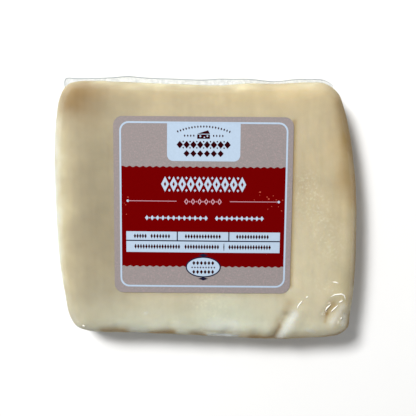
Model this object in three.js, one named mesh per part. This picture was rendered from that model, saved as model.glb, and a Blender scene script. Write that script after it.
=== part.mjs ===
// Vacuum-packed block of low-moisture cheese with a square paper label on its face, lying on its back.
// Millimetres, +Z up. The origin is the middle of the underside, +X the pack's right, +Y its top edge.
import * as THREE from 'three';

// Heights of the block
const faceHeight = 21.6; // underside to the shoulder of the labelled face
const crownHeight = 0.9; // how far the middle of the face swells above its shoulder
const crownReach = { x: 62, y: 54 }; // half the span that the swelling covers
// Slow waves of the soft block
const faceWaves = { height: 0.15, lengthX: 17, lengthY: 19, phaseX: 0.6, phaseY: 0.4 };
const equatorHeight = 10.8; // where the side wall stands out furthest

// Roundings from the side wall to the face and to the underside, as horizontal reach
const upperRounding = 7.5;
const leftRoundingExtra = 3.5;
const frontRoundingExtra = 1.5;
const lowerRounding = 7;
const roundingPower = 2.3; // 2 is an ellipse, more is squarer
const steepestSlant = 0.6; // least cosine between a station's outward direction and its ray from the middle

// The block's edge seen from above, at the equator, anticlockwise from the front right corner
const edgePoints = [
  [46.0, -48.1], [50.5, -46.9], [53.8, -44.0], [54.5, -38.5], // front right corner
  [55.6, -29.0], [56.1, -16.0], [55.9, -2.0], [55.3, 10.0], [53.9, 21.0], [52.5, 29.6], // right side
  [50.6, 36.6], [48.1, 43.1], [43.6, 46.6], // back right shoulder
  [36.0, 47.1], [26.0, 46.7], [15.5, 46.8], [6.0, 46.1], [-14.0, 46.7], [-30.0, 47.3], [-43.0, 47.8], // back edge
  [-49.1, 46.9], [-51.6, 44.7], [-53.3, 41.0], // back left corner
  [-54.7, 33.5], [-55.7, 21.0], [-55.7, 8.0], [-55.4, -8.0], [-54.5, -22.0], [-53.1, -32.0], // left side
  [-51.7, -39.7], [-49.2, -43.8], [-45.0, -45.5], // front left corner
  [-36.0, -46.4], [-26.0, -46.4], [-15.0, -47.1], [-5.0, -47.5], [4.0, -47.9], // front edge
  [12.0, -48.4], [24.0, -49.0], [38.5, -48.5],
];

// Folds, dents and swellings of the face. Each runs from one point to another.
// Height is above the plain face.
const reliefMarks = [
  { name: 'long fold, its groove', from: [24.6, -49.0], to: [29.4, -38.0], width: 1.9, height: -1 },
  { name: 'long fold, its ridge', from: [29.4, -46.5], to: [34.8, -36.2], width: 2.4, height: 0.55 },
  { name: 'swelling between the folds', from: [37.5, -43.0], to: [40.5, -35.0], width: 4.4, height: 0.3 },
  { name: 'corner pit', from: [44.0, -37.6], to: [46.4, -33.4], width: 1.9, height: -0.7 },
  { name: 'corner ridge', from: [47.2, -40.4], to: [50.8, -34.6], width: 2.1, height: 0.4 },
  { name: 'arch over the pit', from: [45.6, -29.6], to: [51.2, -30.4], width: 1.8, height: 0.3 },
  { name: 'front dent, far left', from: [-35.5, -48.0], to: [-33.0, -42.5], width: 1.8, height: -0.6 },
  { name: 'front dent, left', from: [-16.4, -49.0], to: [-13.6, -43.6], width: 2.3, height: -0.6 },
  { name: 'front dent, middle', from: [-4.6, -49.5], to: [-1.8, -44.4], width: 2.0, height: -0.5 },
  { name: 'front dent, right of the middle', from: [4.0, -49.5], to: [8.0, -43.8], width: 2.1, height: -0.6 },
  { name: 'front dent by the long fold', from: [21.4, -50.5], to: [18.4, -44.2], width: 1.8, height: -0.5 },
  { name: 'back dent, left', from: [-18.0, 48.0], to: [-17.8, 41.5], width: 1.7, height: -0.4 },
  { name: 'back dent, middle', from: [4.8, 48.0], to: [4.6, 41.0], width: 1.5, height: -0.45 },
  { name: 'step in the right side', from: [55.0, 31.4], to: [49.5, 28.6], width: 2.4, height: -0.3 },
  { name: 'back left swelling', from: [-46.0, 41.0], to: [-41.0, 38.0], width: 5.0, height: 0.5 },
];
const reliefOnset = 65; // degrees up the upper rounding by which a mark has its full height

// Seal fin: the welded film that stands out of the back edge, and the film ears at the two back corners
const finThickness = 0.7;
const finWidth = 1.9;
const finLeast = 0.05; // what is left of the fin on the other edges, so that no facet is flat
const finEnds = { left: -51.5, right: 45.5, fade: 2.0, fromBack: 43.0, wholeBack: 45.5 };
const finSwells = [
  { at: [-42.0, 47.7], reach: 9.0, width: -1.0 },
  { at: [-28.5, 47.2], reach: 4.0, width: 0.35 },
  { at: [5.5, 46.1], reach: 5.0, width: 0.55 },
  { at: [25.0, 46.7], reach: 8.5, width: -1.0 },
  { at: [-50.2, 46.3], reach: 2.0, width: 1.2 },
  { at: [48.4, 42.0], reach: 4.2, width: 1.0 },
];

// Paper label on the face
const label = {
  width: 63.5,
  height: 63.5,
  thickness: 0.22,
  corner: 3.2,
  centre: [-1.05, 3.1],
  turn: THREE.MathUtils.degToRad(-0.5),
  gap: 0.15, // clear of the faceted face below it
};

// Fineness of the faceted surfaces
const stationsPerPoint = 5;
const upperAngles = [12, 24, 36, 48, 61, 75, 90];
const lowerAngles = [18, 38, 60, 90];
const faceFractions = [0.035, 0.07, 0.105, 0.14, 0.18, 0.23, 0.3, 0.42, 0.6, 0.8];
const labelCornerSteps = 4;
const labelSideSteps = 6;
const labelRings = [1, 0.82, 0.62, 0.42, 0.2];

const cheeseMaterial = new THREE.MeshStandardMaterial({ color: 0xe6d6ae, roughness: 0.3, metalness: 0 });
const paperMaterial = new THREE.MeshStandardMaterial({ color: 0x9c2a26, roughness: 0.6, metalness: 0 });

function smoothStep(from, to, value) {
  const t = Math.min(1, Math.max(0, (value - from) / (to - from)));
  return t * t * (3 - 2 * t);
}

// Height of the plain face over the underside: swollen in the middle, with slow waves
function faceAt(x, y) {
  const crown = Math.max(0, 1 - (x / crownReach.x) ** 2) * Math.max(0, 1 - (y / crownReach.y) ** 2);
  const { height, lengthX, lengthY, phaseX, phaseY } = faceWaves;
  const waves = height * Math.sin(x / lengthX + phaseX) * Math.cos(y / lengthY - phaseY);
  return faceHeight + crownHeight * crown + waves;
}

// Sum of the folds, dents and swellings at a point of the plan
function reliefAt(x, y) {
  let sum = 0;
  for (const mark of reliefMarks) {
    const [ax, ay] = mark.from;
    const [bx, by] = mark.to;
    const length = Math.hypot(bx - ax, by - ay);
    const along = ((x - ax) * (bx - ax) + (y - ay) * (by - ay)) / length;
    const across = ((x - ax) * (by - ay) - (y - ay) * (bx - ax)) / length;
    const beyond = Math.max(0, -along, along - length);
    sum += mark.height * Math.exp(-(across ** 2 + beyond ** 2) / mark.width ** 2);
  }
  return sum;
}

// How far the seal fin stands out of the edge at a point of it
function finAt(x, y) {
  const onBack = smoothStep(finEnds.fromBack, finEnds.wholeBack, y);
  const leftFade = smoothStep(finEnds.left, finEnds.left + finEnds.fade, x);
  const rightFade = 1 - smoothStep(finEnds.right - finEnds.fade, finEnds.right, x);
  let width = finWidth * onBack * leftFade * rightFade;
  for (const swell of finSwells) {
    const distance = Math.hypot(x - swell.at[0], y - swell.at[1]);
    width += swell.width * Math.exp(-((distance / swell.reach) ** 2));
  }
  return width;
}

// Points round the edge, with their outward directions
function edgeStations() {
  const points = edgePoints.map(([x, y]) => new THREE.Vector3(x, y, 0));
  const curve = new THREE.CatmullRomCurve3(points, true, 'centripetal');
  const count = edgePoints.length * stationsPerPoint;
  const stations = [];
  for (let i = 0; i < count; i += 1) {
    const { x, y } = curve.getPoint(i / count);
    const tangent = curve.getTangent(i / count);
    const nx = tangent.y;
    const ny = -tangent.x;
    const radius = Math.hypot(x, y);
    const slant = Math.max(steepestSlant, (nx * x + ny * y) / radius);
    const rounding = upperRounding + leftRoundingExtra * Math.max(0, -nx) ** 2
      + frontRoundingExtra * Math.max(0, -ny) ** 2;
    stations.push({ x, y, nx, ny, radius, slant, rounding });
  }
  return stations;
}

// Moves a station's point towards the middle by an inset measured square to the edge
function insetPoint(station, inset) {
  const keep = 1 - inset / (station.radius * station.slant);
  return [station.x * keep, station.y * keep];
}

// One point of the upper rounding, from the equator at 0 degrees to the face at 90
function upperPoint(station, degrees) {
  const angle = THREE.MathUtils.degToRad(degrees);
  const sine = Math.sin(angle);
  const cosine = Math.cos(angle);
  const inset = station.rounding * (1 - cosine ** (2 / roundingPower));
  const [x, y] = insetPoint(station, inset);
  const lift = sine ** (2 / roundingPower);
  const z = equatorHeight + (faceAt(x, y) - equatorHeight) * lift;
  const relief = reliefAt(x, y) * smoothStep(0, reliefOnset, degrees);
  return [x + station.nx * cosine * relief, y + station.ny * cosine * relief, z + sine * relief];
}

// One point of the lower rounding, from the equator at 0 degrees to the flat underside at 90
function lowerPoint(station, degrees) {
  const angle = THREE.MathUtils.degToRad(degrees);
  const inset = lowerRounding * (1 - Math.cos(angle) ** (2 / roundingPower));
  const [x, y] = insetPoint(station, inset);
  const z = degrees === 90 ? 0 : equatorHeight * (1 - Math.sin(angle) ** (2 / roundingPower));
  return [x, y, z];
}

// One point of the face, inside its rounding; fraction 0 is the shoulder and 1 the middle
function facePoint(station, fraction) {
  const [shoulderX, shoulderY] = insetPoint(station, station.rounding);
  const x = shoulderX * (1 - fraction);
  const y = shoulderY * (1 - fraction);
  return [x, y, faceAt(x, y) + reliefAt(x, y)];
}

// Joins rings of equal length into one closed body, with a fan to a pole at each end
function closedBody(rings, lowPole, highPole) {
  const count = rings[0].length;
  const positions = [...rings.flat(), lowPole, highPole].flat();
  const low = rings.length * count;
  const high = low + 1;
  const indices = [];
  for (let i = 0; i < count; i += 1) {
    const next = (i + 1) % count;
    indices.push(low, next, i);
    for (let r = 0; r + 1 < rings.length; r += 1) {
      const a = r * count + i;
      const b = r * count + next;
      indices.push(a, b, b + count, a, b + count, a + count);
    }
    const last = (rings.length - 1) * count;
    indices.push(high, last + i, last + next);
  }
  const geometry = new THREE.BufferGeometry();
  geometry.setAttribute('position', new THREE.Float32BufferAttribute(positions, 3));
  geometry.setIndex(indices);
  geometry.computeVertexNormals();
  return geometry;
}

// Film-wrapped block: underside, lower rounding, seal fin, upper rounding and face
function makeSealedPack() {
  const stations = edgeStations();
  const finRoot = (height) => stations.map((s) => [s.x, s.y, height]);
  const finTip = stations.map((s) => {
    const width = Math.max(finLeast, finAt(s.x, s.y));
    return [s.x + s.nx * width, s.y + s.ny * width, equatorHeight];
  });
  const rings = [
    ...lowerAngles.toReversed().map((angle) => stations.map((s) => lowerPoint(s, angle))),
    finRoot(equatorHeight - finThickness / 2),
    finTip,
    finRoot(equatorHeight + finThickness / 2),
    ...upperAngles.map((angle) => stations.map((s) => upperPoint(s, angle))),
    ...faceFractions.map((fraction) => stations.map((s) => facePoint(s, fraction))),
  ];
  const geometry = closedBody(rings, [0, 0, 0], [0, 0, faceAt(0, 0) + reliefAt(0, 0)]);
  const mesh = new THREE.Mesh(geometry, cheeseMaterial);
  mesh.name = 'sealed_pack';
  return mesh;
}

// The label's rounded square outline about its own middle, anticlockwise
function labelOutline() {
  const halfWidth = label.width / 2 - label.corner;
  const halfHeight = label.height / 2 - label.corner;
  const corners = [
    [halfWidth, halfHeight], [-halfWidth, halfHeight], [-halfWidth, -halfHeight], [halfWidth, -halfHeight],
  ];
  const outline = [];
  corners.forEach(([cx, cy], quarter) => {
    for (let i = 0; i <= labelCornerSteps; i += 1) {
      const angle = (quarter + i / labelCornerSteps) * (Math.PI / 2);
      outline.push([cx + label.corner * Math.cos(angle), cy + label.corner * Math.sin(angle)]);
    }
    const [lastX, lastY] = outline[outline.length - 1];
    const [nextX, nextY] = corners[(quarter + 1) % 4];
    const nextAngle = (quarter + 1) * (Math.PI / 2);
    const startX = nextX + label.corner * Math.cos(nextAngle);
    const startY = nextY + label.corner * Math.sin(nextAngle);
    for (let i = 1; i < labelSideSteps; i += 1) {
      const t = i / labelSideSteps;
      outline.push([lastX + (startX - lastX) * t, lastY + (startY - lastY) * t]);
    }
  });
  return outline;
}

// Thin paper that follows the face
function makeLabel() {
  const outline = labelOutline();
  const onFace = ([u, v], height) => {
    const x = label.centre[0] + u * Math.cos(label.turn) - v * Math.sin(label.turn);
    const y = label.centre[1] + u * Math.sin(label.turn) + v * Math.cos(label.turn);
    return [x, y, faceAt(x, y) + reliefAt(x, y) + height];
  };
  const ring = (scale, height) => outline.map(([u, v]) => onFace([u * scale, v * scale], height));
  const top = label.gap + label.thickness;
  const rings = [
    ...labelRings.toReversed().map((scale) => ring(scale, label.gap)),
    ...labelRings.map((scale) => ring(scale, top)),
  ];
  const geometry = closedBody(rings, onFace([0, 0], label.gap), onFace([0, 0], top));
  const mesh = new THREE.Mesh(geometry, paperMaterial);
  mesh.name = 'label';
  return mesh;
}

const pack = new THREE.Group();
pack.add(makeSealedPack(), makeLabel());

export default pack;
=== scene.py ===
import math

import bpy
import numpy as np
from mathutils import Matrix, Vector
from mathutils.bvhtree import BVHTree


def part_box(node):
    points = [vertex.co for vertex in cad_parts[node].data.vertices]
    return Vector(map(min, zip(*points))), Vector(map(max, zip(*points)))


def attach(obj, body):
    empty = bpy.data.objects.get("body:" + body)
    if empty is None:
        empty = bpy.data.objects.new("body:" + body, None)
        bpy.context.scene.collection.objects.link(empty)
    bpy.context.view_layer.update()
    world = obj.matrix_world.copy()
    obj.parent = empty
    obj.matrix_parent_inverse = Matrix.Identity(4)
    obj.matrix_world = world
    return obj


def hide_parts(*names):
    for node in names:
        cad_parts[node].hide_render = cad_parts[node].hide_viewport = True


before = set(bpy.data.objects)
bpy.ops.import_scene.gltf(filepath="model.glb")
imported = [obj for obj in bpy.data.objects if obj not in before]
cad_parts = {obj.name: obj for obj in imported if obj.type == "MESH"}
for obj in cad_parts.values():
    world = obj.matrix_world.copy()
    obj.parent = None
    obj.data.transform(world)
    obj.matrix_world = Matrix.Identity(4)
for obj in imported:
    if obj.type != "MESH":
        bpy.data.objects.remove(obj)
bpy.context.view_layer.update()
mm = 0.001
body = "root"
print("stage: frame loaded")


# Small helpers

def linearColour(hexColour, alpha=1.0):
    values = [int(hexColour[i:i + 2], 16) / 255 for i in (1, 3, 5)]
    return (*[v / 12.92 if v <= 0.04045 else ((v + 0.055) / 1.055) ** 2.4 for v in values], alpha)


def addNode(tree, kind, inputs=None, **settings):
    node = tree.nodes.new(kind)
    for name, value in settings.items():
        setattr(node, name, value)
    for name, value in (inputs or {}).items():
        if isinstance(value, bpy.types.Node):
            value = value.outputs[0]  # a node given as an input stands for its first output
        if isinstance(value, bpy.types.NodeSocket):
            tree.links.new(value, node.inputs[name])
        else:
            node.inputs[name].default_value = value
    return node


def newMaterial(name):
    material = bpy.data.materials.new(name)
    material.use_nodes = True
    material.node_tree.nodes.clear()
    return material, material.node_tree


# The point on the piece in millimetres, for patterns of a real size
def placeInMm(tree):
    place = addNode(tree, "ShaderNodeTexCoord").outputs["Object"]
    return addNode(tree, "ShaderNodeVectorMath", {0: place, "Scale": 1 / mm}, operation="SCALE")


# Cloudy noise, and the same noise brought to a range of values
def clouds(tree, place, perUnit, least, most, start=0.3, end=0.7, detail=2.0, roughness=0.5):
    noise = addNode(tree, "ShaderNodeTexNoise", {"Vector": place, "Scale": perUnit, "Detail": detail,
                                                 "Roughness": roughness}).outputs["Fac"]
    ranged = addNode(tree, "ShaderNodeMapRange", {"Value": noise, "From Min": start, "From Max": end,
                                                  "To Min": least, "To Max": most})
    return noise, ranged


def smoothStep(start, end, value):
    t = np.clip((value - start) / (end - start), 0.0, 1.0)
    return t * t * (3.0 - 2.0 * t)


# Seeded sum of plane waves, about -1 to 1, for the unevenness of soft surfaces
def waveField(points, field):
    draw = np.random.default_rng(field["seed"])
    shortest, longest = field["lengths"]
    total = np.zeros(points.shape[:-1])
    for _ in range(field["waves"]):
        direction = draw.normal(size=3)
        direction /= np.linalg.norm(direction)
        length = draw.uniform(shortest, longest)
        total += np.sin(points @ direction * (2 * math.pi / length) + draw.uniform(0, 2 * math.pi))
    return total / math.sqrt(field["waves"])


# Points in millimetres become one mesh object at the origin, smooth but for its sharp edges
def makePiece(name, points, faces, material, sharpDegrees=None):
    mesh = bpy.data.meshes.new(name)
    mesh.from_pydata((np.asarray(points) * mm).tolist(), [], faces)
    mesh.validate()
    mesh.polygons.foreach_set("use_smooth", [True] * len(mesh.polygons))
    if sharpDegrees:
        mesh.set_sharp_from_angle(angle=math.radians(sharpDegrees))
    mesh.materials.append(material)
    mesh.update()
    piece = bpy.data.objects.new(name, mesh)
    bpy.context.scene.collection.objects.link(piece)
    return piece


# A value at each point of a piece, for its material to read by name
def addPointValues(piece, name, values):
    layer = piece.data.attributes.new(name, "FLOAT", "POINT")
    layer.data.foreach_set("value", np.clip(np.asarray(values, dtype=np.float32), 0.0, 1.0))


# Faces that join closed rings of equal length from the low pole to the high pole
def ringFaces(ringCount, count):
    faces = []
    low = ringCount * count
    for i in range(count):
        j = (i + 1) % count
        faces.append((low, j, i))
        for r in range(ringCount - 1):
            a = r * count
            faces.append((a + i, a + j, a + count + j, a + count + i))
        last = (ringCount - 1) * count
        faces.append((low + 1, last + i, last + j))
    return faces


# The block's form, shared by the cheese and its film, as in the part's source

block = {
    "faceHeight": 21.6,  # underside to the shoulder of the labelled face
    "crownHeight": 0.9,
    "crownReach": (62.0, 54.0),
    "waveHeight": 0.15,
    "waveLengths": (17.0, 19.0),
    "wavePhases": (0.6, 0.4),
    "equatorHeight": 10.8,
    "upperRounding": 7.5,
    "leftRoundingExtra": 3.5,
    "frontRoundingExtra": 1.5,
    "lowerRounding": 7.0,
    "roundingPower": 2.3,
    "steepestSlant": 0.6,
    "reliefOnset": 65.0,  # degrees up the rounding by which a fold is whole
    "closer": {"at": (42.0, -48.0), "reach": 30.0, "gain": 2.6},  # where stations crowd for the corner folds
    "unevenness": {"height": 0.045, "seed": 11, "waves": 14, "lengths": (5, 16)},
    "undersideWaves": {"seed": 5, "waves": 9, "lengths": (16, 40), "onset": 0.35},
    "edge": [
        (46.0, -48.1), (50.5, -46.9), (53.8, -44.0), (54.5, -38.5), (55.6, -29.0), (56.1, -16.0),
        (55.9, -2.0), (55.3, 10.0), (53.9, 21.0), (52.5, 29.6), (50.6, 36.6), (48.1, 43.1), (43.6, 46.6),
        (36.0, 47.1), (26.0, 46.7), (15.5, 46.8), (6.0, 46.1), (-14.0, 46.7), (-30.0, 47.3), (-43.0, 47.8),
        (-49.1, 46.9), (-51.6, 44.7), (-53.3, 41.0), (-54.7, 33.5), (-55.7, 21.0), (-55.7, 8.0),
        (-55.4, -8.0), (-54.5, -22.0), (-53.1, -32.0), (-51.7, -39.7), (-49.2, -43.8), (-45.0, -45.5),
        (-36.0, -46.4), (-26.0, -46.4), (-15.0, -47.1), (-5.0, -47.5), (4.0, -47.9), (12.0, -48.4),
        (24.0, -49.0), (38.5, -48.5),
    ],
    # Folds, dents and swellings: start, end, width, height
    "folds": {
        "longFoldGroove": ((24.6, -49.0), (29.4, -38.0), 1.9, -1),
        "longFoldRidge": ((29.4, -46.5), (34.8, -36.2), 2.4, 0.55),
        "swellingBetweenFolds": ((37.5, -43.0), (40.5, -35.0), 4.4, 0.3),
        "cornerPit": ((44.0, -37.6), (46.4, -33.4), 1.9, -0.7),
        "cornerRidge": ((47.2, -40.4), (50.8, -34.6), 2.1, 0.4),
        "archOverPit": ((45.6, -29.6), (51.2, -30.4), 1.8, 0.3),
        "frontDentFarLeft": ((-35.5, -48.0), (-33.0, -42.5), 1.8, -0.6),
        "frontDentLeft": ((-16.4, -49.0), (-13.6, -43.6), 2.3, -0.6),
        "frontDentMiddle": ((-4.6, -49.5), (-1.8, -44.4), 2.0, -0.5),
        "frontDentRight": ((4.0, -49.5), (8.0, -43.8), 2.1, -0.6),
        "frontDentByFold": ((21.4, -50.5), (18.4, -44.2), 1.8, -0.5),
        "backDentLeft": ((-18.0, 48.0), (-17.8, 41.5), 1.7, -0.4),
        "backDentMiddle": ((4.8, 48.0), (4.6, 41.0), 1.5, -0.45),
        "rightStep": ((55.0, 31.4), (49.5, 28.6), 2.4, -0.3),
        "backLeftSwelling": ((-46.0, 41.0), (-41.0, 38.0), 5.0, 0.5),
    },
}


def faceAt(x, y):
    reachX, reachY = block["crownReach"]
    crown = np.maximum(0, 1 - (x / reachX) ** 2) * np.maximum(0, 1 - (y / reachY) ** 2)
    lengthX, lengthY = block["waveLengths"]
    phaseX, phaseY = block["wavePhases"]
    waves = block["waveHeight"] * np.sin(x / lengthX + phaseX) * np.cos(y / lengthY - phaseY)
    return block["faceHeight"] + block["crownHeight"] * crown + waves


# Sum of soft ridges and grooves at points of the plan, each a bell round a line from start to end
def reliefAt(x, y, marks, grooveShare=1.0):
    total = np.zeros_like(x)
    for (ax, ay), (bx, by), width, height in marks.values():
        length = math.hypot(bx - ax, by - ay)
        along = ((x - ax) * (bx - ax) + (y - ay) * (by - ay)) / length
        across = ((x - ax) * (by - ay) - (y - ay) * (bx - ax)) / length
        beyond = np.maximum(0, np.maximum(-along, along - length))
        share = grooveShare if height < 0 else 1.0
        total += share * height * np.exp(-(across ** 2 + beyond ** 2) / width ** 2)
    return total


# The edge as a closed centripetal Catmull-Rom curve, with finely spaced points
def edgeCurve(stepsPerPoint=60):
    points = np.array(block["edge"])
    t = (np.arange(stepsPerPoint) / stepsPerPoint)[:, None]
    parts = []
    for i in range(len(points)):
        p0, p1, p2, p3 = (points[(i + k) % len(points)] for k in (-1, 0, 1, 2))
        d0, d1, d2 = (math.sqrt(np.linalg.norm(b - a)) for a, b in ((p0, p1), (p1, p2), (p2, p3)))
        m1 = ((p1 - p0) / d0 - (p2 - p0) / (d0 + d1) + (p2 - p1) / d1) * d1
        m2 = ((p2 - p1) / d1 - (p3 - p1) / (d1 + d2) + (p3 - p2) / d2) * d1
        square = -3 * p1 + 3 * p2 - 2 * m1 - m2
        cube = 2 * p1 - 2 * p2 + m1 + m2
        parts.append(p1 + m1 * t + square * t ** 2 + cube * t ** 3)
    return np.vstack(parts)


# Stations round the edge, by default closer together near the folded corner
def edgeStations(count, gain=block["closer"]["gain"]):
    curve = edgeCurve()
    tangent = np.roll(curve, -1, 0) - np.roll(curve, 1, 0)
    step = np.linalg.norm(np.roll(curve, -1, 0) - curve, axis=1)
    distance = np.linalg.norm(curve - np.array(block["closer"]["at"]), axis=1)
    crowding = 1 + gain * np.exp(-(distance / block["closer"]["reach"]) ** 2)
    along = np.concatenate([[0], np.cumsum(step * crowding)])
    wanted = np.arange(count) / count * along[-1]
    closed = np.vstack([curve, curve[:1]])
    closedTangent = np.vstack([tangent, tangent[:1]])
    x, y = (np.interp(wanted, along, closed[:, k]) for k in (0, 1))
    tx, ty = (np.interp(wanted, along, closedTangent[:, k]) for k in (0, 1))
    size = np.hypot(tx, ty)
    nx, ny = ty / size, -tx / size
    radius = np.hypot(x, y)
    slant = np.maximum(block["steepestSlant"], (nx * x + ny * y) / radius)
    rounding = block["upperRounding"] + block["leftRoundingExtra"] * np.maximum(0, -nx) ** 2
    rounding = rounding + block["frontRoundingExtra"] * np.maximum(0, -ny) ** 2
    return {"x": x, "y": y, "nx": nx, "ny": ny, "radius": radius, "slant": slant, "rounding": rounding}


# One skin of the block: rings from the underside's middle to the face's middle. The skin's offset pushes it
# outwards, and extra(points) gives its own relief, pushed the same way.
def skinRings(st, skin, extra):
    power = 2 / block["roundingPower"]
    equator = block["equatorHeight"]
    offset = skin["offset"]
    uneven, dents = block["unevenness"], block["undersideWaves"]
    slantRadius = st["radius"] * st["slant"]
    rings = []

    def moved(keep):
        return st["x"] * keep, st["y"] * keep

    def place(x, y, z, cosine, sine, marks):
        points = np.column_stack([x, y, z])
        push = marks + offset + uneven["height"] * waveField(points, uneven) + extra(points)
        return points + np.column_stack([st["nx"] * cosine * push, st["ny"] * cosine * push, sine * push])

    def underside(keep):
        x, y = moved(keep)
        waves = waveField(np.column_stack([x, y, x * 0]), dents)
        z = skin["underDents"] * np.maximum(0, waves - dents["onset"])
        return np.column_stack([x, y, z - offset])

    floorKeep = 1 - block["lowerRounding"] / slantRadius
    for fraction in skin["underFractions"]:
        rings.append(underside(floorKeep * (1 - fraction)))
    for degrees in skin["lowerAngles"]:
        angle = math.radians(degrees)
        inset = block["lowerRounding"] * (1 - math.cos(angle) ** power)
        x, y = moved(1 - inset / slantRadius)
        z = np.full_like(x, equator * (1 - math.sin(angle) ** power))
        points = place(x, y, z, math.cos(angle), -math.sin(angle), 0)
        points[:, 2] = np.maximum(points[:, 2], -offset)
        rings.append(points)
    for degrees in skin["upperAngles"]:
        angle = math.radians(degrees)
        inset = st["rounding"] * (1 - math.cos(angle) ** power)
        x, y = moved(1 - inset / slantRadius)
        z = equator + (faceAt(x, y) - equator) * math.sin(angle) ** power
        marks = reliefAt(x, y, block["folds"], skin["grooveShare"])
        marks = marks * smoothStep(0, block["reliefOnset"], degrees)
        rings.append(place(x, y, z, math.cos(angle), math.sin(angle), marks))
    shoulderKeep = 1 - st["rounding"] / slantRadius
    for fraction in skin["faceFractions"]:
        x, y = moved(shoulderKeep * (1 - fraction))
        marks = reliefAt(x, y, block["folds"], skin["grooveShare"])
        rings.append(place(x, y, faceAt(x, y), 0, 1, marks))
    poles = [[0, 0, -offset], [0, 0, faceAt(0, 0) + offset]]
    return rings, poles


# Cheese: low-moisture mozzarella, cooked curd stretched and pressed in a loaf mould, then cut to a block.
# The eye sees a soft, slightly translucent cream body with faint stretch lines and no gloss of its own.

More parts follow.
